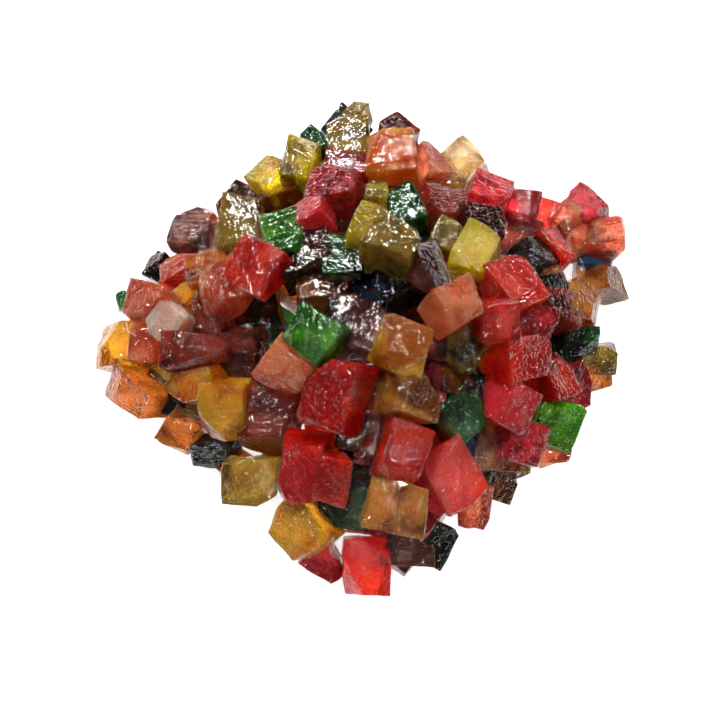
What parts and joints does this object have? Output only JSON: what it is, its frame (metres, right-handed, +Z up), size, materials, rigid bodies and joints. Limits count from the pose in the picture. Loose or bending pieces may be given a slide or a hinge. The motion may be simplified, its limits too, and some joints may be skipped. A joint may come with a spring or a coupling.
{
  "type": "heap of candied fruit",
  "caption": "Low loose heap of glossy, translucent candied fruit cut into small uneven dice of many colours; one solid.",
  "frame": {"origin": "centre of the heap's bounding box in plan, on the surface it lies on", "axes": "+Z up; -Y to the side that is near the viewer in the picture; +X to the viewer's right"},
  "size_m": [0.1058, 0.1034, 0.033],
  "materials": {
    "candied_fruit": "glossy",
    "scarlet": "glossy, translucent",
    "crimson": "glossy, translucent",
    "coral": "glossy, translucent",
    "orange": "glossy, translucent",
    "amber": "glossy, translucent",
    "honey": "glossy, translucent",
    "yellow": "glossy, translucent",
    "lime": "glossy, translucent",
    "green": "glossy, translucent",
    "pine": "glossy, translucent",
    "olive": "glossy, translucent",
    "brown": "glossy, translucent",
    "caramel": "glossy, translucent",
    "rust": "glossy, translucent",
    "maroon": "glossy, translucent",
    "black": "glossy, translucent",
    "blush": "glossy, translucent",
    "plum": "glossy, translucent",
    "ink": "glossy, translucent"
  },
  "bodies": {
    "root": {"fruit_heap": "candied_fruit"}
  },
  "joints": []
}
